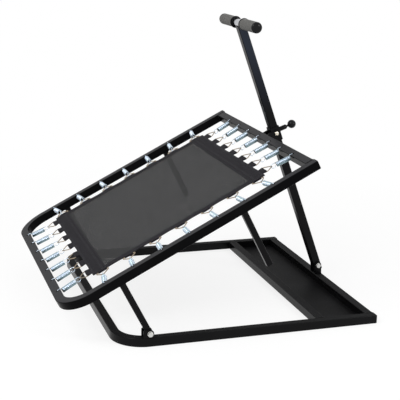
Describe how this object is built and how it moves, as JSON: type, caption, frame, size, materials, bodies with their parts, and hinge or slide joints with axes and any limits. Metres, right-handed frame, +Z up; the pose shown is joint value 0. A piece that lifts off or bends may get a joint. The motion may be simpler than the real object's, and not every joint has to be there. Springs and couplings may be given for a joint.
{
  "type": "medicine ball rebounder",
  "caption": "Tilting sprung mat in a square tube frame on a floor base with a storage tray, propped by a sliding post with a T-handle and a pull pin.",
  "frame": {"origin": "on the floor, under the middle of the whole object's box", "axes": "+X from the bed's low end towards the post, +Y to the left seen along +X, +Z up"},
  "size_m": [1.1599, 1.0158, 1.0634],
  "materials": {
    "frame_paint": "gloss black powder coat",
    "tray_paint": "satin black paint",
    "cap_plastic": "moulded black plastic",
    "zinc": "bright zinc plate",
    "dome_bolt": "polished, warm",
    "chrome": "polished chrome",
    "spring_wire": "bright zinc plated spring wire",
    "ring_wire": "dull galvanised wire",
    "mat_weave": "open woven mesh",
    "webbing": "sewn black webbing",
    "foam": "ribbed foam rubber",
    "knob_plastic": "gloss black plastic"
  },
  "bodies": {
    "base": {"base_frame": "frame_paint", "base_rear_tube": "frame_paint", "tray_tube": "frame_paint", "tray_pan": "tray_paint", "base_end_caps": "cap_plastic", "hinge_ears_left": "frame_paint", "hinge_ears_right": "frame_paint", "hinge_bolts": "zinc", "hinge_washers": "zinc", "hinge_nuts": "zinc", "post_clevis": "frame_paint", "post_pivot_bolt": "zinc", "post_pivot_washers": "zinc", "post_pivot_nut": "zinc"},
    "bed": {"bed_frame": "frame_paint", "bed_rear_tube": "frame_paint", "bed_end_caps": "cap_plastic", "front_leg_left": "frame_paint", "front_leg_right": "frame_paint", "rear_leg_left": "frame_paint", "rear_leg_right": "frame_paint", "rear_leg_plugs": "cap_plastic", "sleeve_ears": "frame_paint", "sleeve_bolts": "dome_bolt", "mat": "mat_weave", "mat_border": "webbing", "mat_loops_front": "webbing", "mat_loops_rear": "webbing", "mat_loops_left": "webbing", "mat_loops_right": "webbing", "rings_front": "ring_wire", "rings_rear": "ring_wire", "rings_left": "ring_wire", "rings_right": "ring_wire", "springs_front": "spring_wire", "springs_rear": "spring_wire", "springs_left": "spring_wire", "springs_right": "spring_wire"},
    "post": {"post": "frame_paint", "handle_tube": "chrome", "grip_left": "foam", "grip_right": "foam", "grip_flanges": "knob_plastic", "handle_caps": "knob_plastic"},
    "sleeve": {"sleeve": "frame_paint", "pin_barrel": "frame_paint", "pin_spring": "spring_wire"},
    "pull_pin": {"pull_pin": "frame_paint", "pin_knob": "knob_plastic"}
  },
  "joints": [
    {"name": "bed_tilt", "type": "hinge", "parent": "base", "child": "bed", "pos_m": [-0.27652, 0, 0.0475], "axis": [0, -1, 0], "range_deg": [-27.5, 16.5]},
    {"name": "post_swing", "type": "hinge", "parent": "base", "child": "post", "pos_m": [0.55748, 0, 0.067], "axis": [0, -1, 0], "range_deg": [-15.13, 9.08]},
    {"name": "sleeve_slide", "type": "slide", "parent": "post", "child": "sleeve", "axis": [-0.3508, 0, 0.9364], "range_m": [-0.3796, 0.2278]},
    {"name": "pin_pull", "type": "slide", "parent": "sleeve", "child": "pull_pin", "axis": [0.9364, 0, 0.3508], "range_m": [-0.006, 0.004], "stiffness_N_per_m": 800, "springref_m": -0.006}
  ],
  "couplings": [
    {"joint": "post_swing", "follows": "bed_tilt", "ratio": 0.55},
    {"joint": "sleeve_slide", "follows": "bed_tilt", "m_per_rad": 0.79068}
  ]
}
